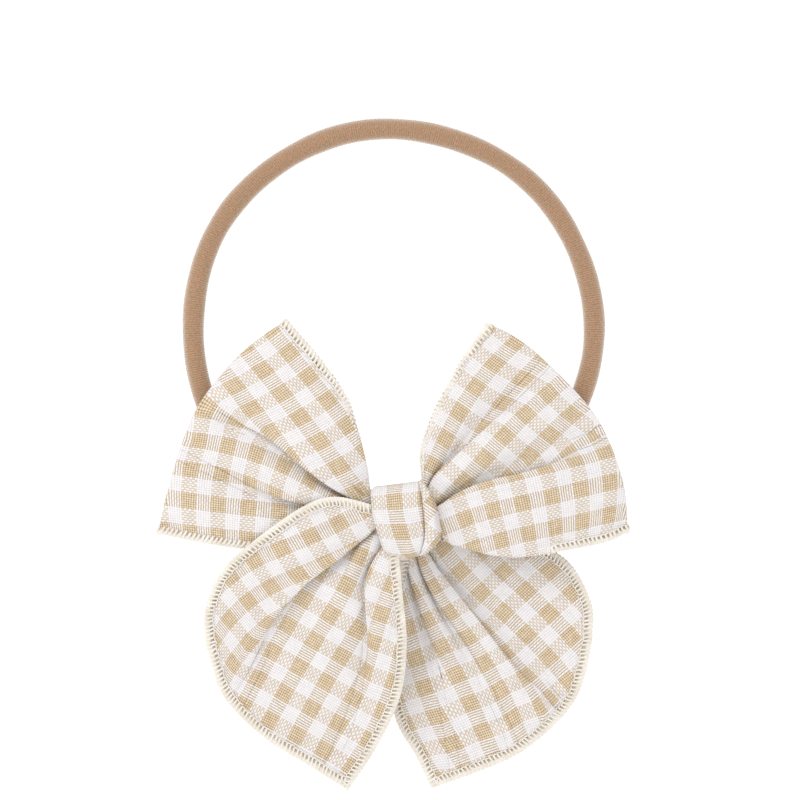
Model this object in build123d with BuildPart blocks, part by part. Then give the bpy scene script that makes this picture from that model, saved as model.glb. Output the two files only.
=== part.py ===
"""Hair bow: a hand-tied gingham bow with overlocked edges on a knitted nylon headband.

Frame, in millimetres: the origin is the centre of the relaxed headband ring, which lies in the XZ plane.
+X runs across the bow, +Z runs up from the knot to the band's crown, and the bow faces -Y.
The cloth is one tied strip. It is modelled as the stretches that show: two loops, two tails
and the knot.
"""

import os

from build123d import *

os.makedirs("parts", exist_ok=True)

# Headband: a knitted nylon tube bent into a ring.
ring_radius = 48.5  # to the tube's centreline, relaxed
band_width = 5.2  # across the tube, in the ring's plane
band_depth = 4.2  # through the tube, front to back
crown_angle = 15.0  # degrees from the ring's widest level up to the crown's ends
grip_half = 14.0  # the knot grips the band this far each side of its own middle

# Knot: the gathered middle of the strip, held by one turn of the strip around it and the band.
knot_x = 3.2
knot_z = -46.4
knot_width = 16.6
knot_height = 19.2
knot_front = -12.3
knot_back = 4.6
knot_corner = 4.5
wrap_thickness = 0.9
core_front = -8.4
core_back = -3.6
core_reach = 12.7  # the gathered core ends at this radius around the knot's axis
core_play = 0.2  # between the gathered core and the wrap, above and below
loop_start = 12.9  # the loops start at this radius, just clear of the core
tail_start = 13.6  # the tails start past a straight line this far from the knot's axis

# Cloth and overlocked edging.
cloth_thickness = 0.7
edging_thickness = 1.1
edging_width = 2.0

# Loops: each folds back on itself at a constant distance from the knot.
loop_back = -3.4
loop_neck_front = -7.4
loop_bulge = -10.2
left_fold_radius = 58.0
right_fold_radius = 53.0
fold_depth = 2.5  # how far the rounded fold reaches past the plies' straight ends
open_end = 1.0  # the loop's inside is cut this far past its near end, to leave it open

# Tails: the left one hangs in front of its loop, the right one behind. Depths are along Y.
left_tail_depths = (-8.7, -11.6, -5.5)
right_tail_depths = (-2.4, -2.0, -3.6)
left_tail_direction = (-0.72, 0, -0.69)
right_tail_direction = (0.56, 0, -0.83)
tail_length = 70.0
tail_half_span = 60.0

beyond = 90.0  # a distance that is past every piece
knot_centre = Vector(knot_x, 0, knot_z)


def save(builder, name):
    """Labels a finished piece and writes its STEP file."""
    builder.part.label = name
    export_step(builder.part, f"parts/{name}.step")


# ---------------------------------------------------------------- headband
ring_axis = Axis((0, 0, 0), (0, -1, 0))
lowest = -90.0  # the angle of the ring's lowest point, counted from +X towards +Z


def ring_stretch(start, end, skin=0.0):
    """A stretch of the knitted tube between two angles, or a sleeve of thickness skin around it."""
    across = Vector(1, 0, 0).rotate(ring_axis, start)
    along = Vector(0, 0, 1).rotate(ring_axis, start)
    with BuildPart() as tube:
        with BuildSketch(Plane(origin=across * ring_radius, x_dir=across, z_dir=along)):
            Ellipse(band_width / 2 + skin, band_depth / 2 + skin)
            if skin:
                Ellipse(band_width / 2, band_depth / 2, mode=Mode.SUBTRACT)
        revolve(axis=ring_axis, revolution_arc=end - start)
    return tube.part


grip_left = Plane.YZ.offset(knot_x - grip_half)
grip_right = Plane.YZ.offset(knot_x + grip_half)

with BuildPart() as band_crown:
    add(ring_stretch(crown_angle, 180 - crown_angle))
save(band_crown, "band_crown")

with BuildPart() as band_left_arm:
    add(ring_stretch(180 - crown_angle, 270))
    split(bisect_by=grip_left, keep=Keep.BOTTOM)
save(band_left_arm, "band_left_arm")

with BuildPart() as band_right_arm:
    add(ring_stretch(lowest, crown_angle))
    split(bisect_by=grip_right, keep=Keep.TOP)
save(band_right_arm, "band_right_arm")

grip_span = 25.0  # degrees each side of the lowest point, cut back by the two planes
with BuildPart() as band_underpass:
    add(ring_stretch(lowest - grip_span, lowest + grip_span))
    split(bisect_by=grip_left, keep=Keep.TOP)
    split(bisect_by=grip_right, keep=Keep.BOTTOM)
save(band_underpass, "band_underpass")

# The tube's two cut ends meet inside the knot and are whipped together with thread.
whipping_half_angle = 1.8
whipping_thickness = 0.35
whipping_angle = lowest + 3.5
with BuildPart() as band_join_whipping:
    add(
        ring_stretch(
            whipping_angle - whipping_half_angle,
            whipping_angle + whipping_half_angle,
            whipping_thickness,
        )
    )
save(band_join_whipping, "band_join_whipping")

# ---------------------------------------------------------------- knot
knot_depth = knot_back - knot_front
across_knot = Plane(
    origin=(knot_x, (knot_front + knot_back) / 2, knot_z), x_dir=(0, 1, 0), z_dir=(1, 0, 0)
)

with BuildPart() as knot_wrap:
    with BuildSketch(across_knot):
        RectangleRounded(knot_depth, knot_height, knot_corner)
        offset(amount=-wrap_thickness, mode=Mode.SUBTRACT)
    extrude(amount=knot_width / 2, both=True)
save(knot_wrap, "knot_wrap")

core_height = knot_height - 2 * (wrap_thickness + core_play)
core_rounding = 1.2
with BuildPart() as gathered_core:
    with BuildSketch(Plane(origin=(knot_x, core_front, knot_z), x_dir=(1, 0, 0), z_dir=(0, 1, 0))):
        Circle(core_reach)
        Rectangle(2 * core_reach, core_height, mode=Mode.INTERSECT)
    extrude(amount=core_back - core_front)
    fillet(gathered_core.edges().filter_by(Axis.X), core_rounding)
save(gathered_core, "gathered_core")

# Thread bars that tack the strip's turn down on the knot's underside.
stitch_radius = 0.25
stitch_length = 3.0
stitch_pitch = 2.2
stitch_count = 4
stitch_y = -3.0
with BuildPart() as tacking_stitches:
    with BuildSketch(Plane(origin=(knot_x, stitch_y, 0), x_dir=(1, 0, 0), z_dir=(0, 1, 0))):
        with Locations((0, -(knot_z - knot_height / 2 - stitch_radius))):
            with GridLocations(stitch_pitch, 0, stitch_count, 1):
                Circle(stitch_radius)
    extrude(amount=stitch_length / 2, both=True)
save(tacking_stitches, "tacking_stitches")

# ---------------------------------------------------------------- loops
knot_axis = Axis(knot_centre, (0, 1, 0))


def loop_section(outer_radius, inner_radius, inset):
    """Half of a loop's section through the knot: radius across, depth up, inset from the outside."""
    back = loop_back - inset
    front = loop_neck_front + inset
    fold_radius = outer_radius - inset
    middle_radius = (loop_start + outer_radius) / 2
    rear_end = (outer_radius - fold_depth, back)
    front_end = (outer_radius - fold_depth, front)
    with BuildLine() as outline:
        rear = Line((inner_radius, back), rear_end)
        fold = ThreePointArc(rear @ 1, (fold_radius, (back + front) / 2), front_end)
        ply = ThreePointArc(fold @ 1, (middle_radius, loop_bulge + inset), (inner_radius, front))
        Line(ply @ 1, rear @ 0)
    return outline


def loop_shell(fold_radius, thickness):
    """Cloth or edging of a loop turned all the way round the knot: back ply, fold and front ply.

    Each thickness is centred on the cloth's middle surface, so the edging is proud on both sides."""
    skin = (thickness - cloth_thickness) / 2
    with BuildPart() as shell:
        with BuildSketch(Plane(origin=knot_centre, x_dir=(1, 0, 0), z_dir=(0, 0, 1))):
            add(loop_section(fold_radius, loop_start, -skin).line)
            make_face()
            add(loop_section(fold_radius, loop_start - open_end, thickness - skin).line)
            make_face(mode=Mode.SUBTRACT)
        revolve(axis=knot_axis, revolution_arc=360)
    return shell.part


def loop_fan(upper, lower, inset):
    """A prism through the loop's fan, between its two overlocked edges.

    upper and lower are three points of an edge: near the knot, midway and past the fold."""
    middle = (Vector(*upper[2]) + Vector(*lower[2])) / 2 - Vector(knot_x, knot_z)
    with BuildPart() as fan:
        with BuildSketch(Plane.XZ):
            with BuildLine():
                side = ThreePointArc(*upper)
                other = ThreePointArc(*lower)
                Line(side @ 0, other @ 0)
                Polyline(side @ 1, Vector(knot_x, knot_z) + middle.normalized() * beyond, other @ 1)
            make_face()
            if inset:
                offset(amount=-inset)
        extrude(amount=beyond, both=True)
    return fan.part


def make_loop(side, fold_radius, upper, lower):
    """One loop: its cloth, and the overlock thread along its upper and lower edge."""
    with BuildPart() as cloth:
        add(loop_shell(fold_radius, cloth_thickness))
        add(loop_fan(upper, lower, edging_width), mode=Mode.INTERSECT)
    save(cloth, f"{side}_loop")
    with BuildPart() as edging:
        add(loop_shell(fold_radius, edging_thickness))
        add(loop_fan(upper, lower, 0), mode=Mode.INTERSECT)
        add(loop_fan(upper, lower, edging_width), mode=Mode.SUBTRACT)
    strips = edging.part.solids().sort_by(Axis.Z)
    for strip, name in ((strips[-1], "upper"), (strips[0], "lower")):
        with BuildPart() as thread:
            add(strip)
        save(thread, f"{side}_loop_{name}_edging")


make_loop(
    "left",
    left_fold_radius,
    upper=((-3.0, -44.0), (-9.3, -23.5), (-29.5, 5.5)),
    lower=((-1.0, -49.0), (-30.0, -52.9), (-65.0, -50.2)),
)
make_loop(
    "right",
    right_fold_radius,
    upper=((6.5, -44.0), (8.4, -22.0), (25.5, 5.0)),
    lower=((6.0, -48.5), (31.0, -54.9), (63.0, -49.0)),
)

# ---------------------------------------------------------------- tails


def tail_sheet(direction, depths, thickness):
    """A bowed sheet that leaves the knot along direction.

    depths are its Y at the knot, a third along and at the end."""
    across = Vector(*direction).cross(Vector(0, 1, 0))
    half = thickness / 2
    stations = [(0, depths[0]), (tail_length / 3, depths[1]), (tail_length, depths[2])]
    with BuildPart() as sheet:
        with BuildSketch(Plane(origin=knot_centre, x_dir=direction, z_dir=across)):
            with BuildLine():
                front = ThreePointArc(*[(along, depth - half) for along, depth in stations])
                rear = ThreePointArc(*[(along, depth + half) for along, depth in stations])
                Line(front @ 0, rear @ 0)
                Line(front @ 1, rear @ 1)
            make_face()
        extrude(amount=tail_half_span, both=True)
        start = Plane(origin=knot_centre + Vector(*direction).normalized() * tail_start, z_dir=direction)
        split(bisect_by=start, keep=Keep.TOP)
    return sheet.part


def tail_outline(arcs, inset):
    """A prism through the tail's outline, closed by a line inside the knot."""
    with BuildPart() as prism:
        with BuildSketch(Plane.XZ):
            with BuildLine():
                for arc in arcs:
                    ThreePointArc(*arc)
                Line(arcs[-1][2], arcs[0][0])
            make_face()
            if inset:
                offset(amount=-inset)
        extrude(amount=beyond, both=True)
    return prism.part


def make_tail(side, direction, depths, arcs):
    """One tail: its cloth, and the overlock thread around its free edge."""
    with BuildPart() as cloth:
        add(tail_sheet(direction, depths, cloth_thickness))
        add(tail_outline(arcs, edging_width), mode=Mode.INTERSECT)
    save(cloth, f"{side}_tail")
    with BuildPart() as edging:
        add(tail_sheet(direction, depths, edging_thickness))
        add(tail_outline(arcs, 0), mode=Mode.INTERSECT)
        add(tail_outline(arcs, edging_width), mode=Mode.SUBTRACT)
    save(edging, f"{side}_tail_edging")


make_tail(
    "left",
    left_tail_direction,
    left_tail_depths,
    (
        ((-1.5, -40.5), (-18.5, -42.0), (-33.5, -51.5)),
        ((-33.5, -51.5), (-45.2, -71.0), (-38.5, -91.5)),
        ((-38.5, -91.5), (-24.5, -103.2), (-10.3, -111.4)),
        ((-10.3, -111.4), (-3.7, -101.3), (1.6, -91.4)),
        ((1.6, -91.4), (3.7, -76.0), (-0.4, -52.0)),
    ),
)
make_tail(
    "right",
    right_tail_direction,
    right_tail_depths,
    (
        ((9.0, -53.0), (26.0, -52.8), (41.0, -54.8)),
        ((41.0, -54.8), (48.9, -72.0), (43.0, -92.2)),
        ((43.0, -92.2), (28.0, -104.4), (10.6, -111.4)),
        ((10.6, -111.4), (6.0, -102.8), (0.8, -92.4)),
        ((0.8, -92.4), (-2.2, -74.0), (2.5, -54.0)),
    ),
)
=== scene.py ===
import math

import bpy
import numpy as np
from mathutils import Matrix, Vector, kdtree


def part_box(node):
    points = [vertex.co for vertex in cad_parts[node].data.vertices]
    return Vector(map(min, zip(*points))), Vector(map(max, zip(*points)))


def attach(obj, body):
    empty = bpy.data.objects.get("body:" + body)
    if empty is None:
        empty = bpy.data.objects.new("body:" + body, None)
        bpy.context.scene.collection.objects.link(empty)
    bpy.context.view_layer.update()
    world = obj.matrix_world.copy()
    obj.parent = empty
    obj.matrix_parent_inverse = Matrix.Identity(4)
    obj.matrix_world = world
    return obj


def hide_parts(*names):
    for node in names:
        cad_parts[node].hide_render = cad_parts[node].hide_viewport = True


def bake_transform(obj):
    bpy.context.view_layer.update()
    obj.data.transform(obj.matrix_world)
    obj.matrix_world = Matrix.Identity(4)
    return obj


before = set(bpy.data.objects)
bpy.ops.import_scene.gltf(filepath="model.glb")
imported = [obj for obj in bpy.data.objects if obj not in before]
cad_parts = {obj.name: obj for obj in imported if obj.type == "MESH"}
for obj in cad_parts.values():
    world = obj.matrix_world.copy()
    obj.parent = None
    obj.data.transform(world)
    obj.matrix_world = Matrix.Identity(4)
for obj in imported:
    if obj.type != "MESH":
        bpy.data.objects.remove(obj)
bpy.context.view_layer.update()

rng = np.random.default_rng(7)

# Lengths below are millimetres in the frame's axes, and pieces are made in metres.
MM = 0.001
knot = np.array([3.2, -46.4])  # the knot's middle in the XZ plane

check = 3.725  # one gingham check
yarns_across = 6  # yarns in a check, counted along the strip
yarns_along = 7  # yarns in a check, counted across the strip
cloth_thickness = 0.36
turn_length = 1.5  # cloth in the sharp turn of a pressed pleat
open_turn_length = 4.0  # cloth in the soft turn at a pleat's open end
near_gap = 0.5  # a pleat's gap at the knot
deepest_pleat = 1.9
least_hidden = -3.1  # the cloth may be this short across a pleat's open end
least_panel = 0.25  # the narrowest that a panel or a gap between two panels gets
patch_columns = 241  # points across a flat patch before it is folded
panel_points = 34  # points across a panel
turn_points, run_points, last_turn_points = 10, 5, 8  # points across a pleat's turns and straight runs
pleat_points = turn_points + run_points + last_turn_points + run_points
# Overlock, in mm: pitch, reach over the cloth, radius of the thread, reach of the bed wound over the edge.
loop_stitch = {"pitch": 1.1, "reach": 1.8, "radius": 0.32, "bed": 0.95}
tail_stitch = {"pitch": 1.04, "reach": 2.1, "radius": 0.27, "bed": 1.15}
rib_pitch = 0.55  # the headband's knitted ribs
band_width = 5.1


# ---------------------------------------------------------------- curves
def smooth_curve(points, count):
    """count points evenly spaced along a Catmull-Rom curve through points."""
    p = np.asarray(points, float)
    p = np.vstack([2 * p[0] - p[1], p, 2 * p[-1] - p[-2]])
    dense = []
    for k in range(1, len(p) - 2):
        t = np.linspace(0, 1, 40, endpoint=False)[:, None]
        a, b, c, d = p[k - 1:k + 3]
        second, third = 2 * a - 5 * b + 4 * c - d, 3 * b - a - 3 * c + d
        dense.append(0.5 * (2 * b + (c - a) * t + second * t**2 + third * t**3))
    dense = np.vstack(dense + [p[-2][None]])
    return resample(dense, np.linspace(0, 1, count))


def lengths(points):
    """Length along a polyline at each of its points."""
    return np.concatenate([[0], np.cumsum(np.linalg.norm(np.diff(points, axis=0), axis=1))])


def resample(points, shares):
    """Points at the given shares of a polyline's length."""
    s = lengths(points)
    at = np.asarray(shares) * s[-1]
    return np.stack([np.interp(at, s, points[:, k]) for k in range(points.shape[1])], 1)


def smoothstep(x, low=0.0, high=1.0):
    """Rises smoothly from 0 at low to 1 at high."""
    q = np.clip((x - low) / (high - low), 0, 1)
    return q * q * (3 - 2 * q)


def patch(start, end, near, far, rows, columns):
    """A Coons patch in XZ between a ply's two edges, its gathered end and its far end."""
    s, e = smooth_curve(start, rows)[:, None], smooth_curve(end, rows)[:, None]
    n, f = smooth_curve(near, columns)[None], smooth_curve(far, columns)[None]
    v, x = np.linspace(0, 1, rows)[:, None, None], np.linspace(0, 1, columns)[None, :, None]
    corners = (1 - v) * ((1 - x) * n[:, :1] + x * n[:, -1:]) + v * ((1 - x) * f[:, :1] + x * f[:, -1:])
    return (1 - v) * n + v * f + (1 - x) * s + x * e - corners


# ---------------------------------------------------------------- pleated cloth
turn_profile = smoothstep(np.linspace(0, 1, 60))  # how the cloth's direction changes through a turn


def pleat(hidden, gap, turn, room):
    """Section of a pleat that hides a length of cloth over a gap: (along, down, share of cloth) arrays.

    The cloth turns down under the top panel, runs back under it and turns forward again. turn is the
    cloth in each turn, and room is how far the pleat may reach back."""
    tiny = 1e-6
    total = max(hidden, 0.0) + gap
    turn = min(turn, total / 2)
    back = min(max((total - 2 * turn) / 2, 0.0), room)
    # The turns' angle comes by halving: the section must end a gap away from where it starts.
    low, high = 0.0, math.pi
    for _ in range(24):
        angle = (low + high) / 2
        reach = 2 * turn * np.mean(np.cos(angle * turn_profile)) + back * math.cos(angle) + back
        if reach > gap:
            low = angle
        else:
            high = angle
    angle = (low + high) / 2
    s = np.concatenate([
        np.linspace(0, turn, turn_points, endpoint=False),
        turn + np.linspace(0, back, run_points, endpoint=False),
        turn + back + np.linspace(0, turn, last_turn_points, endpoint=False),
        2 * turn + back + np.linspace(0, back, run_points),
    ])
    fine = np.linspace(0, max(2 * turn + 2 * back, tiny), 400)
    turned_down = smoothstep(fine, 0, max(turn, tiny))
    turned_back = smoothstep(fine, turn + back, 2 * turn + back + tiny)
    theta = angle * (turned_down - turned_back)
    step = fine[1] - fine[0]
    along = np.concatenate([[0], np.cumsum(np.cos(theta[:-1]) * step)])
    down = np.concatenate([[0], np.cumsum(np.sin(theta[:-1]) * step)])
    if down.max() > deepest_pleat:
        down *= deepest_pleat / down.max()
    return np.interp(s, fine, along), np.interp(s, fine, down), s / max(fine[-1], tiny)


def place(flat, chord, c):
    """XZ points at chord distances c along the rows of a flat patch, carried on straight past its ends."""
    out = np.empty(c.shape + (2,))
    for i, (s, r) in enumerate(zip(chord, flat)):
        for k in range(2):
            out[i, :, k] = np.interp(c[i], s, r[:, k])
        before, after = c[i] < 0, c[i] > s[-1]
        out[i, before] += (c[i][before, None]) * (r[1] - r[0]) / s[1]
        out[i, after] += (c[i][after, None] - s[-1]) * (r[-1] - r[-2]) / (s[-1] - s[-2])
    return out


def split_panels(shape, rows):
    """Divides a flat patch at its folds. Returns the patch, its chords, the gaps and the panels' sides."""
    flat = patch(shape["start"], shape["end"], shape["near"], shape["far"], rows, patch_columns)
    v = np.linspace(0, 1, rows)
    chord = np.array([lengths(r) for r in flat])
    folds, gaps = [], []
    half = 6
    average = np.ones(2 * half + 1) / (2 * half + 1)
    for fold in shape["folds"]:
        line = smooth_curve(fold["line"], 300)
        nearest = np.array([np.argmin(((r[:, None] - line[None]) ** 2).sum(-1).min(axis=1)) for r in flat])
        share = np.convolve(np.pad(nearest / (patch_columns - 1), half, mode="edge"), average, mode="valid")
        folds.append(share * chord[:, -1])
        gaps.append(near_gap + (fold["gap"] - near_gap) * smoothstep(v, 0.05, 1))
    count = len(folds) + 1
    left = np.array([np.zeros(rows) if j == 0 else folds[j - 1] + gaps[j - 1] / 2 for j in range(count)])
    right = np.array([chord[:, -1] if j == count - 1 else folds[j] - gaps[j] / 2 for j in range(count)])
    right = np.maximum(right, left + least_panel)
    for j in range(1, count):
        left[j] = np.maximum(left[j], right[j - 1] + least_panel)
        right[j] = np.maximum(right[j], left[j] + least_panel)
    return flat, chord, gaps, left, right


def panel_weave(points, yarn, turned, start):
    """Weave coordinates (t, u) of a panel, summed along its yarns from its far start corner.

    yarn gives the direction of u in degrees, as a (start side, end side) pair for each of some even
    levels from the near end to the far end. turned is +1 if t runs anticlockwise from u, else -1."""
    rows, columns = points.shape[:2]
    v, q = np.linspace(0, 1, rows), np.linspace(0, 1, columns)[None]
    sides = [np.interp(v, np.linspace(0, 1, len(yarn)), side)[:, None] for side in zip(*yarn)]
    beta = np.radians(sides[0] + (sides[1] - sides[0]) * q)
    along = np.stack([np.cos(beta), np.sin(beta)], -1)
    across = turned * np.stack([-np.sin(beta), np.cos(beta)], -1)
    uv = np.zeros((rows, columns, 2))
    step = np.diff(points[:, 0], axis=0)
    sides = (across[1:, 0] + across[:-1, 0]) / 2, (along[1:, 0] + along[:-1, 0]) / 2
    column = np.stack([(step * side).sum(-1) for side in sides], -1)
    uv[:-1, 0] = -np.cumsum(column[::-1], axis=0)[::-1]
    step = np.diff(points, axis=1)
    sides = (across[:, 1:] + across[:, :-1]) / 2, (along[:, 1:] + along[:, :-1]) / 2
    uv[:, 1:] = uv[:, :1] + np.cumsum(np.stack([(step * side).sum(-1) for side in sides], -1), axis=1)
    return uv + np.array(start, float)


def lay_panels(shape, flat, chord, gap, from_c, to_c):
    """The panels between the folds, each as [chord distances, XZ points, weave coordinates]."""
    q = np.linspace(0, 1, panel_points)
    panels = []
    for j in range(len(from_c)):
        c = from_c[j][:, None] + (to_c[j] - from_c[j])[:, None] * q[None]
        points = place(flat, chord, c)
        weave = panel_weave(points, shape["yarn"][j], shape["turned"], shape["weave_at"][j])
        if j:
            # The pattern repeats every two checks: take the repeat that hides the least cloth.
            before = panels[j - 1][2][-1, -1]
            after = weave[-1, 0]
            hides = math.ceil((before[0] + gap[j - 1][-1] + least_hidden - after[0]) / (2 * check))
            slips = round((before[1] - after[1]) / (2 * check))
            weave = weave + np.array([hides, slips]) * 2 * check
        panels.append([c, points, weave])
    return panels


def lay_pleats(shape, flat, chord, gap, panels):
    """The pleats between the panels, as panels with their relief added.

    Also returns how deep each panel's start side and end side lie under its neighbour, by row."""
    rows = len(flat)
    v = np.linspace(0, 1, rows)
    open_out = 1 - 0.9 * smoothstep(v, 0.6, 0.97)  # the pleats open before the far end
    turns = turn_length + (open_turn_length - turn_length) * smoothstep(v, 0.1, 1)
    pleats = []
    starts, ends = np.zeros((len(panels), rows)), np.zeros((len(panels), rows))
    for j in range(len(panels) - 1):
        left, right = panels[j], panels[j + 1]
        over_left = shape["folds"][j]["over"] == "start"
        top = left if over_left else right
        c, d, share = np.empty((3, rows, pleat_points))
        for i in range(rows):
            hidden = (right[2][i, 0, 0] - left[2][i, -1, 0] - gap[j][i]) * open_out[i]
            room = 0.8 * abs(top[0][i, -1] - top[0][i, 0])
            opening = right[0][i, 0] - left[0][i, -1]
            along, down, cloth = pleat(hidden, opening, turns[i], room)
            if over_left:
                c[i], d[i], share[i] = left[0][i, -1] + along, -down, cloth
                starts[j + 1][i] = -down[-1]
            else:
                c[i], d[i], share[i] = (right[0][i, 0] - along)[::-1], -down[::-1], 1 - cloth[::-1]
                ends[j][i] = -down[-1]
        uv = left[2][:, -1:] + share[..., None] * (right[2][:, :1] - left[2][:, -1:])
        pleats.append([c, place(flat, chord, c), uv, d])
    return pleats, starts, ends


def soften(relief, reach):
    """Pleats soften on their way out: each stage blends in a wider average across the cloth."""
    for half_width, from_reach, to_reach in ((8, 0.35, 0.85), (16, 0.6, 1.0)):
        wide = np.hanning(2 * half_width + 3)[1:-1]
        wide /= wide.sum()
        padded = np.pad(relief, ((0, 0), (half_width, half_width)), mode="edge")
        softer = np.array([np.convolve(row, wide, mode="valid") for row in padded])
        relief = softer + (relief - softer) * (1 - smoothstep(reach, from_reach, to_reach))
    # Along the pleats, a short average over five rows.
    kernel = np.array([1, 4, 6, 4, 1]) / 16.0
    padded = np.pad(relief, ((2, 2), (0, 0)), mode="edge")
    return sum(kernel[k] * padded[k:k + len(relief)] for k in range(5))


def pleated_ply(shape, rows=80):
    """Folds a flat patch into panels and pleats.

    Returns XZ points, relief towards the viewer, weave coordinates and the share across the patch, each
    as rows by columns."""
    flat, chord, gap, from_c, to_c = split_panels(shape, rows)
    reach = np.linspace(0, 1, rows)[:, None]
    q = np.linspace(0, 1, panel_points)
    panels = lay_panels(shape, flat, chord, gap, from_c, to_c)
    pleats, starts, ends = lay_pleats(shape, flat, chord, gap, panels)

    # A panel rises from under its neighbour where a pleat ends, and bulges a little.
    for j, panel in enumerate(panels):
        full = smoothstep((to_c[j] - from_c[j])[:, None], 0.5, 9.0)
        rise = starts[j][:, None] * (1 - q) ** 2.2 + ends[j][:, None] * q**2.2
        swell = shape["swell"] * full * np.sin(math.pi * q) * np.sin(math.pi * reach) ** 0.6
        panel.append(rise + swell)
    blocks = [panels[0]]
    for made, panel in zip(pleats, panels[1:]):
        blocks += [[part[:, 1:] for part in block] for block in (made, panel)]
    c, xz, uv, relief = (np.concatenate(parts, 1) for parts in zip(*blocks))
    across_share = np.clip(c / chord[:, -1:], 0, 1)

    # Fine puckers that run out of the knot and fade, and slow waves further out.
    t, x, z = uv[..., 0], xz[..., 0], xz[..., 1]
    pucker = np.sin(t * 2 * math.pi / 5.3 + 1.7) + 0.6 * np.sin(t * 2 * math.pi / 3.1 + reach * 5)
    relief += shape["pucker"] * pucker * smoothstep(reach, 0.05, 0.2) * (1 - smoothstep(reach, 0.2, 0.7))
    wave = np.sin(x / 7.1 + z / 11.3) + np.sin(x / 4.7 - z / 8.9 + 2)
    relief += 0.10 * wave * smoothstep(reach, 0.1, 0.6)
    for begin, stop, depth in shape.get("creases", []):
        begin, along = np.array(begin), np.array(stop) - np.array(begin)
        share = np.clip(((xz - begin) * along).sum(-1) / (along**2).sum(), 0, 1)
        away = np.linalg.norm(xz - begin - share[..., None] * along, axis=-1)
        relief -= depth * smoothstep(1 - share) * np.exp(-((away / 0.5) ** 2))
    return xz, soften(relief, reach), uv, across_share


def to_metres(xz, y):
    """Points in metres from XZ points and depths in mm."""
    return np.stack([xz[..., 0], y, xz[..., 1]], -1) * MM


# ---------------------------------------------------------------- meshes
def new_mesh(name, points, faces, uv=None):
    """A smooth-shaded object. points and uv are arrays of any grid shape, faces an array or lists."""
    mesh = bpy.data.meshes.new(name)
    faces = faces.tolist() if isinstance(faces, np.ndarray) else faces
    mesh.from_pydata(points.reshape(-1, 3).tolist(), [], faces)
    mesh.polygons.foreach_set("use_smooth", [True] * len(mesh.polygons))
    if uv is not None:
        layer = mesh.uv_layers.new(name="weave")
        index = np.empty(len(mesh.loops), int)
        mesh.loops.foreach_get("vertex_index", index)
        layer.data.foreach_set("uv", uv.reshape(-1, 2)[index].ravel())
    mesh.update()
    piece = bpy.data.objects.new(name, mesh)
    bpy.context.scene.collection.objects.link(piece)
    return piece


def grid_faces(rows, columns, closed_rows=False, closed_columns=False, flip=False):
    """Quads of a rows by columns grid of points, which may close on itself either way."""
    i = np.arange(rows if closed_rows else rows - 1)
    j = np.arange(columns if closed_columns else columns - 1)
    i, j = [a.ravel() for a in np.meshgrid(i, j, indexing="ij")]
    i2, j2 = (i + 1) % rows, (j + 1) % columns
    quads = [i * columns + j, i * columns + j2, i2 * columns + j2, i2 * columns + j]
    return np.stack(quads[::-1] if flip else quads, 1)


def capped_tube_faces(rows, sides):
    """Faces of a tube of rows rings, with a face over each end."""
    faces = grid_faces(rows, sides, closed_columns=True).tolist()
    faces.append(list(range(sides))[::-1])
    faces.append([(rows - 1) * sides + k for k in range(sides)])
    return faces


def thicken(piece):
    """Gives a sheet the cloth's thickness, half to each side."""
    solid = piece.modifiers.new("thickness", "SOLIDIFY")
    solid.thickness = cloth_thickness * MM
    solid.offset = 0
    return solid


def cloth_piece(name, points, uv, flip):
    """A sheet of cloth with thickness, from a grid of points."""
    piece = new_mesh(name, points, grid_faces(*points.shape[:2], flip=flip), uv)
    thicken(piece).use_quality_normals = True
    return piece


def tubes(paths, radius, sides=6):
    """Closed tubes along equally long paths, as one set of points and faces. paths: tubes, points, 3."""
    n, m = paths.shape[:2]
    tangent = np.gradient(paths, axis=1)
    tangent /= np.linalg.norm(tangent, axis=2, keepdims=True) + 1e-12
    # No stitch runs along the guide, so its cross product with a path never vanishes.
    guide = np.broadcast_to((0.31, 0.87, 0.38), tangent.shape)
    side = np.cross(tangent, guide)
    side /= np.linalg.norm(side, axis=2, keepdims=True) + 1e-12
    other = np.cross(tangent, side)
    angle = np.arange(sides)[None, None, :, None] * 2 * math.pi / sides
    ring = side[:, :, None] * np.cos(angle) + other[:, :, None] * np.sin(angle)
    points = (paths[:, :, None] + radius * ring).reshape(-1, 3)
    one = capped_tube_faces(m, sides)
    faces = [[index + k * m * sides for index in face] for k in range(n) for face in one]
    return points, faces


# ---------------------------------------------------------------- overlocked edges
rib_step = 0.3 * MM
rib_points = 9


def ribs_along(polylines):
    """Walks rib_points steps of rib_step along each polyline."""
    out = []
    for line in polylines:
        s = lengths(line)
        want = np.arange(rib_points) * rib_step
        out.append(np.stack([np.interp(want, s, line[:, k]) for k in range(3)], 1))
    return np.array(out)


def ribs_inwards(path, surface):
    """Steps to the left of a path, seen from the front, at the depth of the nearest cloth."""
    tree = kdtree.KDTree(len(surface))
    for i, p in enumerate(surface):
        tree.insert(Vector(p), i)
    tree.balance()
    tangent = np.gradient(path, axis=0)
    side = np.stack([-tangent[:, 2], np.zeros(len(path)), tangent[:, 0]], 1)
    side /= np.linalg.norm(side, axis=1, keepdims=True) + 1e-12
    out = np.empty((len(path), rib_points, 3))
    for i, p in enumerate(path):
        depth = p[1]
        for k in range(rib_points):
            want = p + side[i] * k * rib_step
            want[1] = depth
            near = tree.find_n(Vector(want), 4)
            weight = np.array([1 / (n[2] + 1e-5) for n in near])
            depth = float(np.dot(weight, [n[0][1] for n in near]) / weight.sum())
            out[i, k] = (want[0], depth if k else p[1], want[2])
    kernel = np.ones(5) / 5
    for k in range(1, rib_points):
        padded = np.pad(out[:, k, 1], 2, mode="edge")
        out[:, k, 1] = np.convolve(padded, kernel, mode="valid")
    return out


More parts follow.
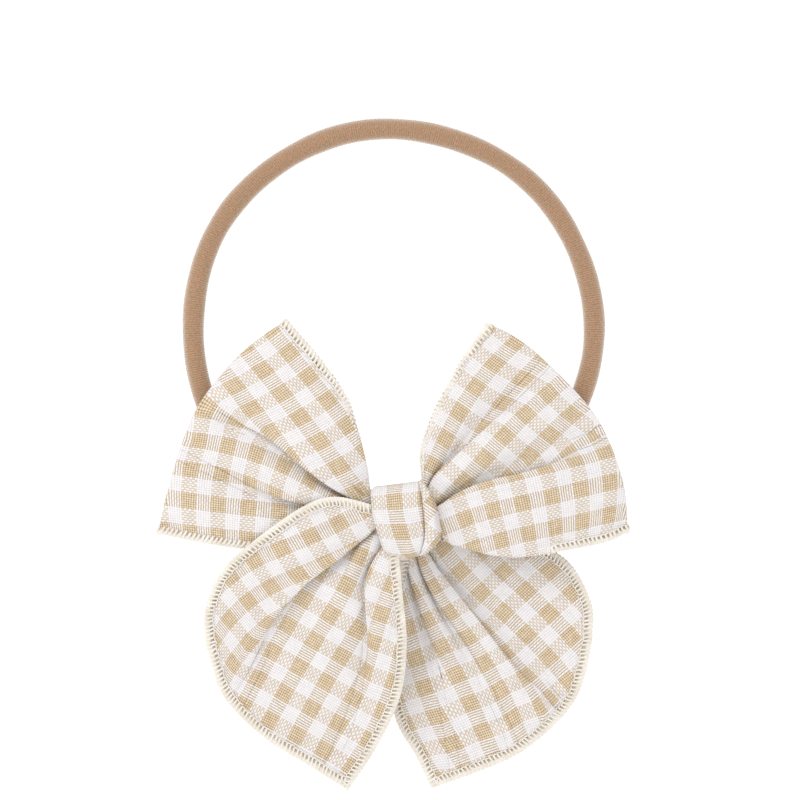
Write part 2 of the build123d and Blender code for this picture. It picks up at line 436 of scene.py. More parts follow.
def edging_piece(name, path, ribs, stitch):
    """Overlock thread along an edge: a wound bed over the cut edge, and a slanted stitch at each pitch.

    path is the edge in metres. ribs gives, at each path point, the cloth from the edge inwards. stitch
    gives the stitches' pitch, reach and thread radius and the bed's reach, all in mm."""
    s = lengths(path)
    total = s[-1]
    tangent = np.gradient(path, axis=0)
    tangent /= np.linalg.norm(tangent, axis=1, keepdims=True) + 1e-12

    def at(where, inward):
        """Points, cloth normals and outward directions at distances along the path and inward from it."""
        where, inward = np.broadcast_arrays(np.clip(where, 0, total), inward)
        k = np.clip(np.searchsorted(s, where.ravel(), side="right") - 1, 0, len(s) - 2)
        f = ((where.ravel() - s[k]) / (s[k + 1] - s[k] + 1e-15))[:, None]
        level = np.clip(inward.ravel() / rib_step, 0, ribs.shape[1] - 1.001)
        low = level.astype(int)
        g = (level - low)[:, None]
        here, ahead = (ribs[index, low] * (1 - g) + ribs[index, low + 1] * g for index in (k, k + 1))
        point = here * (1 - f) + ahead * f
        inner = ribs[k, 3] - ribs[k, 0]
        normal = np.cross(tangent[k], inner)
        normal /= np.linalg.norm(normal, axis=1, keepdims=True) + 1e-12
        outward = -inner / (np.linalg.norm(inner, axis=1, keepdims=True) + 1e-12)
        return [a.reshape(where.shape + (3,)) for a in (point, normal, outward)]

    half = (cloth_thickness / 2) * MM
    stations = np.linspace(0, total, max(int(total / (0.3 * MM)), 8))
    wobble = 1 + 0.10 * np.sin(stations / MM * 5.1) + 0.08 * rng.standard_normal(len(stations))

    def strip(top, rim):
        """A closed strip wrapped over the edge. top and rim give (distance inwards, height) in mm.

        The height is over the cloth's face: the strip follows top on the front, then rim, and then top
        again on the back."""
        profile = top + rim + [(inward, -rise) for inward, rise in top[::-1]]
        ring = []
        for inward, rise in profile:
            reach = np.where(inward > 0.3, inward * wobble, inward) * MM
            point, normal, outward = at(stations, np.maximum(reach, 0))
            height = np.sign(rise) * (half + abs(rise) * MM) if rise else 0.0
            ring.append(point + normal * height + outward * np.maximum(-reach, 0)[:, None])
        return np.stack(ring, 1).reshape(-1, 3), capped_tube_faces(len(stations), len(profile))

    bed = stitch["bed"]
    top = [(bed, 0.03), (bed * 0.85, 0.12), (bed * 0.5, 0.17), (0.1, 0.15), (-0.1, 0.04)]
    wound = strip(top, [(-0.14, 0.0)])
    # Under the stitches, further in than the bed: a thin layer of painted shade that shows between them.
    shade = strip([(stitch["reach"] - 0.2, 0.015), (stitch["reach"] / 2, 0.03), (0.3, 0.02)], [])

    count = max(int(total / (stitch["pitch"] * MM)), 2)
    pitch = total / count
    begin = (np.arange(count) + 0.5) * total / count
    begin = begin + rng.normal(0, 0.05 * MM, count)
    reach = stitch["reach"] * MM * (1 + rng.normal(0, 0.05, count))
    lift = half + stitch["radius"] * MM * 0.9

    def threads(route, radius):
        """One tube per stitch. route: (share of the pitch, share of the reach, share of the lift)."""
        paths = []
        for along, inward, height in route:
            point, normal, _ = at(begin + along * pitch, inward * reach)
            paths.append(point + normal * height * lift)
        return tubes(np.stack(paths, 1), radius * MM)

    # A stitch goes from its needle point over the edge, and back under to where it began.
    front = [(0.0, 1.0, 0.4), (0.08, 0.86, 0.9), (0.25, 0.55, 1.0), (0.42, 0.3, 0.95), (0.55, 0.06, 0.6)]
    back = [(along, inward, -height) for along, inward, height in front[::-1]]
    stitches = threads(front + [(0.58, 0.0, 0.0)] + back, stitch["radius"])
    # The needle line is a scallop from one needle point to the next, on the face.
    scallop = [(0.0, 0.97, 0.4), (0.25, 1.03, 0.85), (0.5, 1.05, 0.9), (0.75, 1.03, 0.85), (1.0, 0.97, 0.4)]
    needle_line = threads(scallop, stitch["radius"] * 0.6)

    points, faces = [], []
    for some_points, some_faces in (stitches, needle_line, wound, shade):
        first = sum(len(p) for p in points)
        points.append(some_points)
        faces.extend([[i + first for i in f] for f in some_faces])
    piece = new_mesh(name, np.vstack(points), faces)
    piece.data.materials.append(thread_material)
    piece.data.materials.append(shade_material)
    for polygon in piece.data.polygons[len(faces) - len(shade[1]):]:
        polygon.material_index = 1
    return piece


# ---------------------------------------------------------------- materials
class Graph:
    """A new material, and short calls for building its node tree."""

    def __init__(self, name):
        self.material = bpy.data.materials.new(name)
        self.material.use_nodes = True
        self.nodes, self.links = self.material.node_tree.nodes, self.material.node_tree.links
        self.nodes.clear()

    def weave(self):
        """The two weave coordinates, in mm."""
        coordinates = self.nodes.new("ShaderNodeUVMap")
        coordinates.uv_map = "weave"
        split = self.nodes.new("ShaderNodeSeparateXYZ")
        self.links.new(coordinates.outputs[0], split.inputs[0])
        return split.outputs[0], split.outputs[1]

    def position(self):
        return self.nodes.new("ShaderNodeTexCoord").outputs["Object"]

    def plug(self, socket, value):
        if isinstance(value, bpy.types.NodeSocket):
            self.links.new(value, socket)
        else:
            socket.default_value = value

    def math(self, operation, a, b=0.0, c=0.0):
        n = self.nodes.new("ShaderNodeMath")
        n.operation = operation
        for socket, value in zip(n.inputs, (a, b, c)):
            self.plug(socket, value)
        return n.outputs[0]

    def mix(self, share, a, b):
        n = self.nodes.new("ShaderNodeMix")
        n.data_type = "RGBA"
        self.plug(n.inputs[0], share)
        self.plug(n.inputs[6], a)
        self.plug(n.inputs[7], b)
        return n.outputs[2]

    def lerp(self, share, a, b):
        n = self.nodes.new("ShaderNodeMix")
        n.data_type = "FLOAT"
        self.plug(n.inputs[0], share)
        self.plug(n.inputs[2], a)
        self.plug(n.inputs[3], b)
        return n.outputs[0]

    def noise(self, vector, scale, detail):
        n = self.nodes.new("ShaderNodeTexNoise")
        self.plug(n.inputs["Vector"], vector)
        self.plug(n.inputs["Scale"], scale)
        self.plug(n.inputs["Detail"], detail)
        return n.outputs["Fac"]

    def noise_over(self, x, y, x_scale, y_scale, seed, detail):
        """Noise over two coordinates, each with a scale of its own."""
        place = self.xyz(self.math("MULTIPLY", x, x_scale), self.math("MULTIPLY", y, y_scale), seed)
        return self.noise(place, 1.0, detail)

    def clamp(self, value):
        return self.math("MINIMUM", self.math("MAXIMUM", value, 0.0), 1.0)

    def xyz(self, x, y, z):
        n = self.nodes.new("ShaderNodeCombineXYZ")
        for socket, value in zip(n.inputs, (x, y, z)):
            self.plug(socket, value)
        return n.outputs[0]

    def surface(self, colour, roughness, height, distance, sheen=0.0, tint=(1, 1, 1, 1), strength=1.0):
        """A cloth-like surface. height drives a bump of distance metres."""
        bump = self.nodes.new("ShaderNodeBump")
        bump.inputs["Strength"].default_value = strength
        bump.inputs["Distance"].default_value = distance
        self.plug(bump.inputs["Height"], height)
        shader = self.nodes.new("ShaderNodeBsdfPrincipled")
        self.plug(shader.inputs["Base Color"], colour)
        self.plug(shader.inputs["Roughness"], roughness)
        shader.inputs["Specular IOR Level"].default_value = 0.25
        shader.inputs["Sheen Weight"].default_value = sheen
        shader.inputs["Sheen Roughness"].default_value = 0.5
        shader.inputs["Sheen Tint"].default_value = tint
        self.links.new(bump.outputs[0], shader.inputs["Normal"])
        out = self.nodes.new("ShaderNodeOutputMaterial")
        self.links.new(shader.outputs[0], out.inputs["Surface"])
        return shader


exposure = 0.83  # the share of a surface's display colour that is its own, under this scene's light


def linear(r, g, b):
    """The base colour that shows as the given display values, each 0 to 255."""
    return tuple(exposure * (c / 255) ** 2.2 for c in (r, g, b)) + (1.0,)


def gingham():
    """Plain-woven tan and white gingham from the weave coordinates, yarn by yarn.

    One family of yarns runs along t and the other along u, and the white yarns are fuller than the tan.
    A yarn is a ridge that waves over and under the other family, and the higher one at a point shows."""
    g = Graph("gingham_cloth")
    t, u = g.weave()
    # Yarns run a little crooked.
    wander = [g.noise(g.xyz(t, u, depth), 0.25, 2.0) for depth in (0.0, 40.0)]
    t, u = [g.math("ADD", a, g.math("MULTIPLY", g.math("SUBTRACT", w, 0.5), 0.35))
            for a, w in zip((t, u), wander)]
    tn, un = g.math("DIVIDE", t, check / yarns_along), g.math("DIVIDE", u, check / yarns_across)
    it, iu = g.math("FLOOR", tn), g.math("FLOOR", un)
    # Thick and thin places along each yarn, and each yarn's own shade.
    slub_a = g.noise(g.xyz(iu, g.math("MULTIPLY", t, 0.5), 5.0), 0.9, 1.0)
    slub_b = g.noise(g.xyz(it, g.math("MULTIPLY", u, 0.5), 23.0), 0.9, 1.0)

    tan_a = g.math("LESS_THAN", g.math("FLOORED_MODULO", iu, 2.0 * yarns_across), float(yarns_across))
    tan_b = g.math("LESS_THAN", g.math("FLOORED_MODULO", it, 2.0 * yarns_along), float(yarns_along))

    def ridge(position, index, own, slub, width, tan, other_tan, turn, slimmer, white_lift):
        """Height of a yarn family: position is across it in yarns, own its index, index the other family's.

        turn is 1 for the family that starts under. White yarns over tan ones are slimmer by a factor and
        raised, which lengthens their floats."""
        crosses_tan = g.math("MULTIPLY", g.math("SUBTRACT", 1.0, tan), other_tan)
        offset = g.math("SUBTRACT", g.math("SUBTRACT", position, own), 0.5)
        reach = g.math("MULTIPLY", g.math("ADD", 0.75, g.math("MULTIPLY", slub, 0.5)), width / 2)
        reach = g.math("MULTIPLY", reach, g.lerp(tan, g.lerp(crosses_tan, 1.0, slimmer), 0.8))
        side = g.math("DIVIDE", offset, reach)
        inside = g.math("SUBTRACT", 1.0, g.math("MULTIPLY", side, side))
        bulge = g.math("SQRT", g.math("MAXIMUM", inside, 0.0))
        wave = g.math("SINE", g.math("MULTIPLY", g.math("ADD", g.math("ADD", index, own), turn), math.pi))
        height = g.math("ADD", g.math("MULTIPLY", wave, 0.5), g.math("MULTIPLY", bulge, 0.5))
        height = g.math("ADD", height, g.lerp(tan, g.lerp(crosses_tan, 0.1, white_lift), -0.04))
        return g.lerp(g.math("GREATER_THAN", inside, 0.0), -1.0, height)

    ridge_a = ridge(un, tn, iu, slub_a, 0.80, tan_a, tan_b, 0.0, 0.80, 0.75)
    ridge_b = ridge(tn, un, it, slub_b, 0.94, tan_b, tan_a, 1.0, 0.94, 0.08)
    over = g.math("GREATER_THAN", ridge_a, ridge_b)
    height = g.math("MAXIMUM", ridge_a, ridge_b)
    is_tan = g.lerp(over, tan_b, tan_a)
    shade = g.lerp(over, slub_b, slub_a)
    # Painted shade and highlight: each yarn is coloured darker low down and paler on its crest.
    lit = g.math("SMOOTH_MIN", g.math("MAXIMUM", g.math("MULTIPLY", height, 1.1), 0.0), 1.0, 0.1)
    tan = g.mix(lit, linear(171, 148, 115), g.mix(shade, linear(216, 193, 159), linear(249, 234, 210)))
    white = g.mix(lit, linear(208, 204, 206), g.mix(shade, linear(234, 232, 234), linear(246, 245, 247)))
    colour = g.mix(is_tan, white, tan)
    # Painted shade in the holes between the yarns: grey-blue among white yarns, dark tan among tan ones.
    half_tan = g.math("MULTIPLY", g.math("ADD", tan_a, tan_b), 0.5)
    gap = g.mix(half_tan, linear(178, 178, 190), linear(142, 120, 84))
    colour = g.mix(g.math("LESS_THAN", height, -0.9), colour, gap)
    fuzz = g.noise(g.xyz(t, u, 9.0), 6.0, 3.0)
    relief = g.math("ADD", g.math("MAXIMUM", height, -0.6), g.math("MULTIPLY", fuzz, 0.25))
    g.surface(colour, 0.85, relief, 0.07 * MM, sheen=0.12, tint=(1.0, 0.97, 0.92, 1.0), strength=0.8)
    return g.material


def overlock_thread():
    """Cream twisted thread."""
    g = Graph("overlock_thread")
    position = g.position()
    fine = g.noise(position, 3200.0, 2.0)
    broad = g.noise(position, 260.0, 2.0)
    pale = g.math("ADD", g.math("MULTIPLY", fine, 0.5), broad)
    colour = g.mix(pale, linear(221, 210, 192), linear(251, 247, 240))
    g.surface(colour, 0.8, fine, 0.10 * MM, sheen=0.2, strength=0.7)
    return g.material


def stitch_shade():
    """Painted shade between the stitches: the cloth and the lower threads there, mottled from dark to pale.
    """
    g = Graph("overlock_shade")
    pale = g.math("SMOOTH_MIN", g.math("MULTIPLY", g.noise(g.position(), 420.0, 3.0), 1.25), 1.0, 0.1)
    g.surface(g.mix(pale, linear(128, 110, 78), linear(246, 237, 221)), 0.9, pale, 0.1 * MM, strength=0.5)
    return g.material


def nylon():
    """Soft knitted nylon: fine ribs across the tube, uneven dye, a brushed nap and a painted sheen that
    makes the tube paler at its two sides.
    """
    g = Graph("nylon_band")
    around, along = g.weave()
    knit = g.noise_over(around, along, 1.0, 4.0, 0.0, 3.0)
    brushed = g.noise_over(around, along, 3.0, 2.4, 5.0, 2.0)
    dye = g.noise_over(around, along, 0.7, 0.9, 8.0, 3.0)
    rib = g.math("SINE", g.math("MULTIPLY", along, 2 * math.pi / rib_pitch))
    grain = g.math("ADD", g.math("MULTIPLY", knit, 0.9), g.math("MULTIPLY", brushed, 1.5))
    shade = g.clamp(g.math("ADD", g.math("SUBTRACT", grain, 0.7), g.math("MULTIPLY", rib, 0.20)))
    colour = g.mix(shade, linear(114, 80, 56), linear(200, 168, 139))
    dyed = g.clamp(g.math("MULTIPLY", g.math("SUBTRACT", dye, 0.32), 2.8))
    colour = g.mix(0.45, colour, g.mix(dyed, linear(194, 135, 104), linear(162, 140, 102)))
    # Painted sheen: the tube's two sides are coloured paler, where the raised nap would catch the light.
    side = g.math("ABSOLUTE", g.math("COSINE", g.math("DIVIDE", around, band_width / 2)))
    painted_side_sheen = g.math("MULTIPLY", g.math("POWER", side, 6.0), 0.6)
    colour = g.mix(painted_side_sheen, colour, linear(206, 192, 176))
    g.surface(colour, 0.9, shade, 0.14 * MM, sheen=1.0, tint=(1.0, 0.96, 0.91, 1.0), strength=0.8)
    return g.material


cloth_material = gingham()
thread_material = overlock_thread()
shade_material = stitch_shade()
band_material = nylon()


def finish_piece(piece, body, look, replaced=(), bend=None):
    """Gives a piece its material and rides it on a body, or, where a bend is given, only bakes its transform
    in place.
    """
    if not piece.data.materials:
        piece.data.materials.append(look)
    if bend:
        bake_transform(piece)
    else:
        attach(piece, body)
    if replaced:
        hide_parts(*replaced)


def bend_from_knot(body, direction, distances, depth):
    direction = direction / np.linalg.norm(direction)
    begin, stop = (tuple(to_metres(knot + direction * distance, depth)) for distance in distances)
    return "bow", body, begin, stop


# ---------------------------------------------------------------- loops
neck_depth, fold_depth, back_depth = -7.2, -5.9, -4.1  # of the front ply at both ends, and of the back ply
fold_inset = 0.9  # the ply's far row stops this far inside the loop's fold
fold_length = 2.4  # cloth in the fold
fold_rows = 9
edge_columns = 34  # columns beside an edge that its overlock may reach over
loop_bend = (8.5, 19.0)  # ends of the stretch where a loop would bend as it fans, as distances from the knot
loop_bend_depth = -6.0


def turn_under(points, weave, last, turned):
    """Adds columns at one edge of a sheet, for the length of cloth turned under it at each row (mm)."""
    edge = points[:, -1] if last else points[:, 0]
    inner = points[:, -4] if last else points[:, 3]
    outward = edge - inner
    outward[:, 1] = 0
    outward /= np.linalg.norm(outward, axis=1, keepdims=True) + 1e-12
    radius, start, turn_columns = 0.5, math.radians(50), 8
    lean = math.radians(75)  # past its turn the cloth runs inwards, this far round from straight back
    stop = math.pi / 2 + lean - start
    new_points, new_weave = [], []
    sign = 1 if last else -1
    for k in range(1, turn_columns + 1):
        along = np.maximum(turned, 0.03) * k / turn_columns
        angle = start + np.minimum(along / radius, stop)
        straight = np.maximum(along - radius * stop, 0)
        out = radius * (np.sin(angle) - math.sin(start)) - straight * math.sin(lean)
        back = radius * (math.cos(start) - np.cos(angle)) + straight * math.cos(lean)
        point = edge + outward * (out * MM)[:, None]
        point[:, 1] += back * MM
        new_points.append(point)
        uv = (weave[:, -1] if last else weave[:, 0]).copy()
        uv[:, 0] += sign * along
        new_weave.append(uv)
    pairs = ((points, new_points), (weave, new_weave))
    if last:
        return [np.concatenate([old, np.stack(new, 1)], 1) for old, new in pairs]
    return [np.concatenate([np.stack(new[::-1], 1), old], 1) for old, new in pairs]


def loop(side, shape):
    """One loop: a pleated front ply, a rounded fold and a back ply, as one sheet, with its two edgings."""
    outline = np.array(shape["far"])
    out = outline - knot
    inside = 1 - fold_inset / np.linalg.norm(out, axis=1, keepdims=True)
    xz, relief, uv, x = pleated_ply(dict(shape, far=(knot + out * inside).tolist()))
    rows = len(x)
    v = np.linspace(0, 1, rows)[:, None]
    belly = np.sin(math.pi * v) ** 0.8 * (0.42 + 0.58 * np.sin(math.pi * x) ** 0.8)
    front_y = neck_depth + (fold_depth - neck_depth) * v**2 - shape["belly"] * belly - relief
    back_y = back_depth + 0.5 * np.sin(math.pi * v) * np.sin(math.pi * x) + relief * (1 - 0.45 * v)
    front_points = to_metres(xz, front_y)
    back_points = to_metres(xz, back_y)[::-1]
    back_uv = uv[::-1].copy()
    back_uv[..., 1] = 2 * (uv[-1:, :, 1] + fold_length / 2) - back_uv[..., 1]
    # The fold is half an ellipse from the front ply's far row to the back ply's.
    through = np.linspace(0, 1, fold_rows + 2)[1:-1, None]
    angle = math.pi * through
    mid, half = (front_y[-1] + back_y[-1]) / 2, (back_y[-1] - front_y[-1]) / 2
    outward = xz[-1] - knot
    outward = outward / np.linalg.norm(outward, axis=1, keepdims=True)
    fold_y = mid[None] - half[None] * np.cos(angle)
    fold_xz = xz[-1][None] + outward[None] * (fold_inset * np.sin(angle))[..., None]
    fold_uv = np.repeat(uv[-1][None], fold_rows, 0)
    fold_uv[..., 1] += fold_length * through
    points = np.concatenate([front_points, to_metres(fold_xz, fold_y), back_points])
    weave = np.concatenate([uv, fold_uv, back_uv])
    v_all = np.concatenate([v[:, 0], np.ones(fold_rows), np.full(rows, 2.0)])
    for last, key in ((False, "turned_start"), (True, "turned_end")):
        points, weave = turn_under(points, weave, last, np.interp(v_all, *zip(*shape[key])))
    body = f"{side}_loop"
    bend = bend_from_knot(body, np.array(shape["middle"]) - knot, loop_bend, loop_bend_depth)
    cloth = cloth_piece(f"{side}_loop_cloth", points, weave, flip=side == "right")
    finish_piece(cloth, body, cloth_material, (f"{side}_loop",), bend)
    for name, inwards in (("upper", points), ("lower", points[:, ::-1])):
        ribs = ribs_along(inwards[:, :edge_columns])
        edging = edging_piece(f"{side}_loop_{name}_overlock", inwards[:, 0], ribs, loop_stitch)
        finish_piece(edging, body, thread_material, (f"{side}_loop_{name}_edging",), bend)
    return cloth


# A shape's start and end are its two long edges, near is its gathered end and far its far end. Its folds
# run from the start side to the end side. Each has its line, its gap at the far end, and the side whose
# panel lies over the pleat. yarn and weave_at are as panel_weave takes them, one for each panel. The cloth
# turned under at an edge goes by place: 0 is the knot, 1 the fold and 2 the knot again, at the back.
# yarn and weave_at were fitted to the photo's checks by a separate program, and rounded.
left_loop_shape = {
    "start": [(-2.6, -44.2), (-5.4, -39.5), (-6.4, -33.4), (-8.4, -25.5), (-11.8, -16.2),
              (-17.2, -7.9), (-25.0, 1.2)],
    "end": [(-2.8, -46.5), (-12.0, -50.6), (-24.0, -52.9), (-36.0, -52.9), (-46.0, -51.5),
            (-55.8, -49.5)],
    "near": [(-2.6, -44.2), (-2.9, -45.4), (-2.8, -46.5)],
    "far": [(-25.0, 1.2), (-31.4, -2.9), (-38.3, -9.0), (-46.8, -20.1), (-52.6, -36.0), (-55.8, -49.5)],
    "middle": (-32.0, -28.0),
    "turned": 1,
    "weave_at": [(4.8, 0.0), (2.3, 2.8), (0.6, 4.7)],
    "folds": [
        {"line": [(-2.4, -43.8), (-13.2, -39.0), (-23.9, -31.7), (-29.5, -26.9), (-42.4, -19.6),
                  (-46.5, -17.5)],
         "gap": 5.0, "over": "start"},
        {"line": [(-2.7, -45.4), (-22.5, -42.2), (-29.7, -40.2), (-39.9, -34.6), (-51.0, -29.0)],
         "gap": 6.0, "over": "start"},
    ],
    "yarn": [
        ((126, 108), (128, 111), (130, 112)),
        ((149, 158), (151, 167), (174, 171)),
        ((176, 182), (175, 175), (171, 195)),
    ],
    "turned_start": [(0, 3.2), (0.33, 2.4), (0.42, 1.6), (0.55, 0.7), (0.75, 0.0), (2, 0.0)],
    "turned_end": [(0, 1.0), (0.3, 0.0), (2, 0.0)],
    "creases": [((-7.3, -40.0), (-12.0, -35.6), 1.0)],
    "swell": 0.7, "pucker": 0.16, "belly": 2.9,
}
right_loop_shape = {
    "start": [(7.0, -42.5), (7.3, -36.2), (7.1, -30.2), (8.9, -23.9), (13.1, -15.2), (17.8, -6.6),
              (22.3, 0.3)],
    "end": [(9.2, -47.0), (13.5, -51.4), (18.5, -53.2), (26.2, -54.8), (34.0, -54.6), (51.0, -51.5),
            (56.0, -49.3)],
    "near": [(7.0, -42.5), (8.6, -44.4), (9.2, -47.0)],
    "far": [(22.3, 0.3), (28.4, -2.4), (36.0, -8.2), (48.2, -21.3), (54.6, -36.2), (56.0, -49.3)],
    "middle": (36.0, -28.0),
    "turned": -1,
    "weave_at": [(1.3, 7.4), (0.4, 5.9), (2.6, 2.8)],
    "folds": [
        {"line": [(8.0, -42.6), (9.6, -36.6), (19.3, -26.6), (25.1, -21.5), (29.7, -17.7), (38.0, -9.5)],
         "gap": 6.0, "over": "end"},
        {"line": [(8.9, -44.4), (18.8, -37.8), (26.5, -35.1), (31.2, -34.0), (52.0, -27.0)],
         "gap": 7.0, "over": "end"},
    ],
    "yarn": [
        ((73, 64), (62, 51), (43, 74)),
        ((45, 51), (49, 55), (40, 62)),
        ((27, 17), (13, 13), (14, -25)),
    ],
    "turned_start": [(0, 2.0), (0.3, 1.4), (0.5, 1.0), (0.9, 0.3), (1.0, 0.0), (2, 0.0)],
    "turned_end": [(0, 3.4), (0.5, 3.2), (0.56, 2.0), (0.66, 0.0), (2, 0.0)],
    "swell": 0.7, "pucker": 0.16, "belly": 3.4,
}


# ---------------------------------------------------------------- tails
tail_length = 66.0
tail_bend = (9.5, 18.0)  # ends of the stretch where a tail would bend as it lifts, as distances from the knot
outline_spacing = 0.35  # the least between two points of a tail's outline


def tail(side, shape):
    """One tail: a pleated single ply with its overlocked outline."""
    xz, relief, uv, x = pleated_ply(shape)
    v = np.linspace(0, 1, len(x))[:, None]
    near, third, end = shape["depths"]
    distance = np.linalg.norm(xz - knot, axis=-1) / tail_length
    depths = [near, (near + third) / 2, third, (third + end) / 2, end]
    ease = np.interp(distance, [0, 0.15, 0.36, 0.7, 1.0], depths)
    curl = shape["curl"] * (np.abs(2 * x - 1) ** 3) * smoothstep(v, 0.3, 1.0)
    points = to_metres(xz, ease - relief - curl)
    body = f"{side}_tail"
    bend = bend_from_knot(body, np.array(shape["direction"]), tail_bend, near)
    cloth = cloth_piece(f"{side}_tail_cloth", points, uv, flip=False)
    finish_piece(cloth, body, cloth_material, (f"{side}_tail",), bend)
    # The outline goes out along one side, round the end and back, less the points that crowd together.
    outline = np.concatenate([points[:, 0], points[-1, 1:], points[-2::-1, -1]])
    keep = [0]
    s = lengths(outline)
    for i in range(1, len(outline)):
        if s[i] - s[keep[-1]] > outline_spacing * MM:
            keep.append(i)
    outline = outline[keep]
    ribs = ribs_inwards(outline, points[:, ::2].reshape(-1, 3))
    edging = edging_piece(f"{side}_tail_overlock", outline, ribs, tail_stitch)
    finish_piece(edging, body, thread_material, (f"{side}_tail_edging",), bend)
    return cloth


left_tail_shape = {
    "start": [(-1.8, -43.5), (-13.5, -40.7), (-21.5, -43.0), (-32.9, -50.9), (-41.2, -58.6),
              (-45.2, -68.0), (-45.0, -76.0)],
    "end": [(1.2, -52.0), (2.3, -64.2), (3.3, -76.1), (1.8, -88.5), (-4.0, -101.0), (-10.8, -111.4)],
    "near": [(-1.8, -43.5), (-2.2, -47.5), (1.2, -52.0)],
    "far": [(-45.0, -76.0), (-41.7, -87.0), (-36.8, -93.5), (-29.4, -99.9), (-19.5, -105.9),
            (-10.8, -111.4)],
    "turned": 1,
    "weave_at": [(7.2, 4.3), (2.3, 4.3), (2.0, 7.0)],
    "folds": [
        {"line": [(-2.2, -46.2), (-14.5, -56.5), (-19.6, -59.9), (-25.4, -66.2), (-30.2, -72.2),
                  (-36.0, -84.0), (-39.5, -90.5)],
         "gap": 7.0, "over": "start"},
        {"line": [(-0.8, -50.4), (-6.0, -58.9), (-6.9, -64.2), (-6.0, -78.6), (-9.5, -95.0),
                  (-15.0, -108.8)],
         "gap": 6.0, "over": "end"},
    ],
    "yarn": [
        ((210, 204), (201, 221), (246, 214)),
        ((262, 236), (238, 242), (243, 240)),
        ((240, 258), (256, 243), (232, 246)),
    ],
    "swell": 0.5, "pucker": 0.22,
    "depths": (-8.6, -11.2, -6.2), "curl": 0.8, "direction": (-0.72, -0.69),
}
right_tail_shape = {
    "start": [(3.0, -52.3), (-0.5, -66.0), (-2.0, -78.0), (0.8, -94.3), (5.6, -103.1), (9.5, -111.2)],
    "end": [(8.4, -48.3), (13.0, -49.2), (20.0, -50.8), (33.0, -51.6), (42.5, -56.5), (48.0, -66.5),
            (48.3, -75.0)],
    "near": [(3.0, -52.3), (6.0, -51.0), (8.4, -48.3)],
    "far": [(9.5, -111.2), (21.2, -106.9), (30.7, -102.6), (38.4, -96.5), (43.8, -90.4), (46.7, -83.1),
            (48.3, -75.0)],
    "turned": 1,
    "weave_at": [(7.3, 3.4), (3.9, 2.9), (4.2, 2.1), (5.0, 7.0)],
    "folds": [
        {"line": [(3.9, -52.4), (3.8, -56.0), (6.9, -67.9), (9.9, -76.6), (14.0, -92.0), (17.0, -108.4)],
         "gap": 6.0, "over": "end"},
        {"line": [(5.6, -52.2), (7.9, -59.4), (12.0, -67.2), (17.8, -75.6), (25.1, -87.5),
                  (31.5, -102.0)],
         "gap": 6.0, "over": "end"},
        {"line": [(6.6, -51.6), (10.5, -57.5), (22.9, -72.2), (29.4, -80.0), (33.3, -84.4),
                  (41.0, -94.0)],
         "gap": 6.0, "over": "start"},
    ],
    "yarn": [
        ((-66, -68), (-76, -67), (-55, -97)),
        ((-65, -64), (-60, -79), (-69, -74)),
        ((-67, -54), (-52, -66), (-72, -77)),
        ((-59, -38), (-41, -54), (-53, -41)),
    ],
    "swell": 0.4, "pucker": 0.22,
    "depths": (-3.2, -2.4, -3.4), "curl": -0.6, "direction": (0.56, -0.83),
}

left_loop_cloth = loop("left", left_loop_shape)
right_loop_cloth = loop("right", right_loop_shape)
left_tail_cloth = tail("left", left_tail_shape)
right_tail_cloth = tail("right", right_tail_shape)


# ---------------------------------------------------------------- headband
def headband():
    """One knitted tube bent into a ring, with fine ribs across it."""
    radius, depth = 48.64, 4.3
    steps, sides = 4, 20  # points along a rib's pitch and round the tube
    count = int(2 * math.pi * radius / rib_pitch) * steps
    a = np.linspace(0, 2 * math.pi, count, endpoint=False) - math.pi / 2
    b = np.arange(sides) * 2 * math.pi / sides
    drift = 0.22 * np.sin(3 * a + 0.8) + 0.14 * np.sin(7 * a + 2.0)
    swell = 0.05 * np.sin(11 * a) + 0.03 * np.sin(23 * a + 1)
    rib = 0.07 * np.cos(np.arange(count) * 2 * math.pi / steps)
    r = (radius + drift)[:, None] + (band_width / 2 + rib + swell)[:, None] * np.cos(b)
    y = (depth / 2 + rib)[:, None] * np.sin(b)
    xz = np.stack([r * np.cos(a)[:, None], r * np.sin(a)[:, None]], -1)
    uv = np.stack(np.broadcast_arrays(b * band_width / 2, (a * radius)[:, None]), -1)
    faces = grid_faces(count, sides, closed_rows=True, closed_columns=True)
    piece = new_mesh("headband_tube", to_metres(xz, y), faces, uv)
    # The arms' stretch would run from just over their lower ends to just over their upper ends.
    low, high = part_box("band_left_arm")
    bend = ("headband", "band_crown", (0, 0, low[2] + 0.004), (0, 0, high[2] + 0.002))
    replaced = ("band_underpass", "band_left_arm", "band_right_arm", "band_crown")
    finish_piece(piece, "headband", band_material, replaced, bend)


headband()


# ---------------------------------------------------------------- knot
roll_check = (11.0, -46.6)  # the middle of a white check on the knot's roll
crease_share = 0.7  # the crease beside the roll, as a share of the way across the knot
knot_middle_depth = -3.9
knot_half_depth = 7.9
lap_lift = 0.45  # the lapped end of the turn lies this far over its beginning


